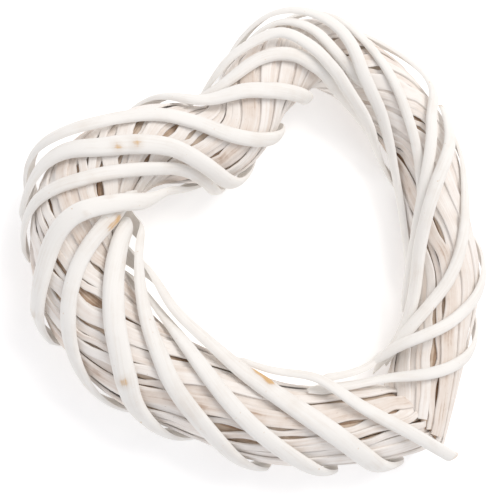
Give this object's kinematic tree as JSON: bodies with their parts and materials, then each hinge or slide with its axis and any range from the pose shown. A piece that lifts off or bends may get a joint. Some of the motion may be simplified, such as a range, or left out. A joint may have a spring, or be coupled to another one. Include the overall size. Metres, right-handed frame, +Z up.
{
  "type": "wicker heart",
  "caption": "Open heart-shaped ring of flat whitewashed willow splints, wound round with long half-round split rods, lying flat",
  "frame": {"origin": "on the floor below the middle of the heart's box, as it lies flat", "axes": "+Z up, +Y from the heart's tip towards its notch, +X towards the lobe at the right"},
  "size_m": [0.208, 0.2022, 0.0489],
  "materials": {
    "outer_splint": "thin whitewash over split willow, matt, pinkish beige",
    "under_splint": "split willow with little whitewash, matt, brown in the shade",
    "wound_rod": "whitewashed split willow, matt, with bare knots"
  },
  "bodies": {
    "root": {"splint_1": "outer_splint", "splint_2": "outer_splint", "splint_3": "outer_splint", "splint_4": "outer_splint", "splint_5": "outer_splint", "splint_6": "outer_splint", "splint_7": "outer_splint", "splint_8": "outer_splint", "splint_9": "outer_splint", "splint_10": "outer_splint", "under_splint_1": "under_splint", "under_splint_2": "under_splint", "under_splint_3": "under_splint", "under_splint_4": "under_splint", "under_splint_5": "under_splint", "under_splint_6": "under_splint", "wound_rod_1": "wound_rod", "wound_rod_2": "wound_rod", "wound_rod_3": "wound_rod", "wound_rod_4": "wound_rod", "wound_rod_5": "wound_rod", "wound_rod_6": "wound_rod", "wound_rod_7": "wound_rod", "wound_rod_8": "wound_rod", "wound_rod_9": "wound_rod", "wound_rod_10": "wound_rod", "wound_rod_11": "wound_rod", "wound_rod_12": "wound_rod", "wound_rod_13": "wound_rod", "wound_rod_14": "wound_rod"}
  },
  "joints": []
}
